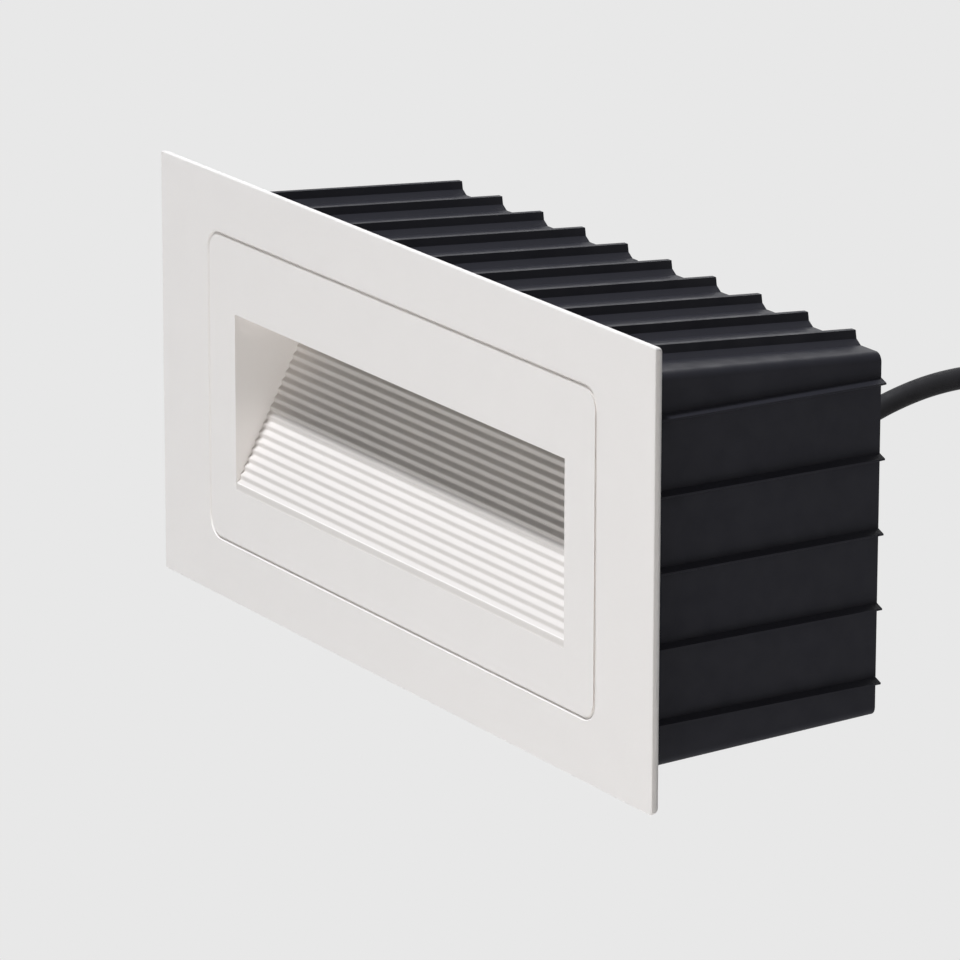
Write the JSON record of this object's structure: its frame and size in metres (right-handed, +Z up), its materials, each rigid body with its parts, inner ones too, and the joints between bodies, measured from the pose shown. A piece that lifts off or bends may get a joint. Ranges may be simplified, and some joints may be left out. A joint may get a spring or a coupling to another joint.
{
  "type": "recessed step light",
  "caption": "Rectangular recessed wall light with a ribbed glare recess in a flat faceplate, a ribbed wall box behind it and a cable tail.",
  "frame": {"origin": "centre of the faceplate's back, in the finished wall surface", "axes": "+X along the faceplate to its right-hand end, +Y back into the wall, +Z up"},
  "size_m": [0.235, 0.2046, 0.1246],
  "materials": {
    "white_powder_coat": "satin, fine texture",
    "grey_casting": "satin",
    "foam": "matte",
    "silicone": "matte",
    "frosted_glass": "frosted",
    "aluminium_sheet": "satin",
    "circuit_board": "satin",
    "led_resin": "gloss",
    "stainless_steel": "satin",
    "spring_steel": "satin",
    "driver_case": "matte",
    "terminal_plastic": "matte",
    "brass": "satin",
    "gland_nylon": "satin",
    "cable_sheath": "matte",
    "core_insulation": "satin",
    "lead_insulation": "satin",
    "black_plastic": "satin",
    "black_rubber": "matte",
    "black_nylon": "satin",
    "copper": "bare copper"
  },
  "bodies": {
    "wall_box": {"wall_box": "black_plastic", "cable_entry": "black_rubber", "cable_in_entry": "cable_sheath", "supply_cable": "cable_sheath", "cable_coil": "cable_sheath", "cable_tie": "black_nylon", "cable_cores": "core_insulation", "core_ends": "copper"},
    "lamp_unit": {"faceplate": "white_powder_coat", "rear_cover": "grey_casting", "plate_gasket": "foam", "body_gasket": "silicone", "window_seal": "silicone", "window_glass": "frosted_glass", "led_carrier": "aluminium_sheet", "led_board": "circuit_board", "led_chips": "led_resin", "cover_screws": "stainless_steel", "carrier_screws": "stainless_steel", "led_driver": "driver_case", "terminal_block": "terminal_plastic", "terminal_screws": "brass", "gland_body": "gland_nylon", "gland_seal": "silicone", "gland_cap_nut": "gland_nylon", "gland_lock_nut": "gland_nylon", "clip_bracket_right": "stainless_steel", "clip_pin_right": "stainless_steel", "clip_spring_right": "spring_steel", "clip_rivets_right": "aluminium_sheet", "clip_bracket_left": "stainless_steel", "clip_pin_left": "stainless_steel", "clip_spring_left": "spring_steel", "clip_rivets_left": "aluminium_sheet", "cable_in_gland": "cable_sheath", "lead_in_box": "cable_sheath", "supply_cores": "core_insulation", "led_leads": "lead_insulation"},
    "left_clip": {"clip_arm_left": "spring_steel"},
    "right_clip": {"clip_arm_right": "spring_steel"}
  },
  "joints": [
    {"name": "lamp_slide", "type": "slide", "parent": "wall_box", "child": "lamp_unit", "axis": [0, -1, 0], "range_m": [0, 0.06], "deforming": ["lead_in_box"]},
    {"name": "left_clip_hinge", "type": "hinge", "parent": "lamp_unit", "child": "left_clip", "pos_m": [-0.0944, 0.027, -0.0022], "axis": [0, 0, 1], "range_deg": [0, 17], "stiffness_Nm_per_rad": 0.05, "springref_deg": -17.19},
    {"name": "right_clip_hinge", "type": "hinge", "parent": "lamp_unit", "child": "right_clip", "pos_m": [0.0944, 0.027, -0.0022], "axis": [0, 0, -1], "range_deg": [0, 17], "stiffness_Nm_per_rad": 0.05, "springref_deg": -17.19}
  ]
}
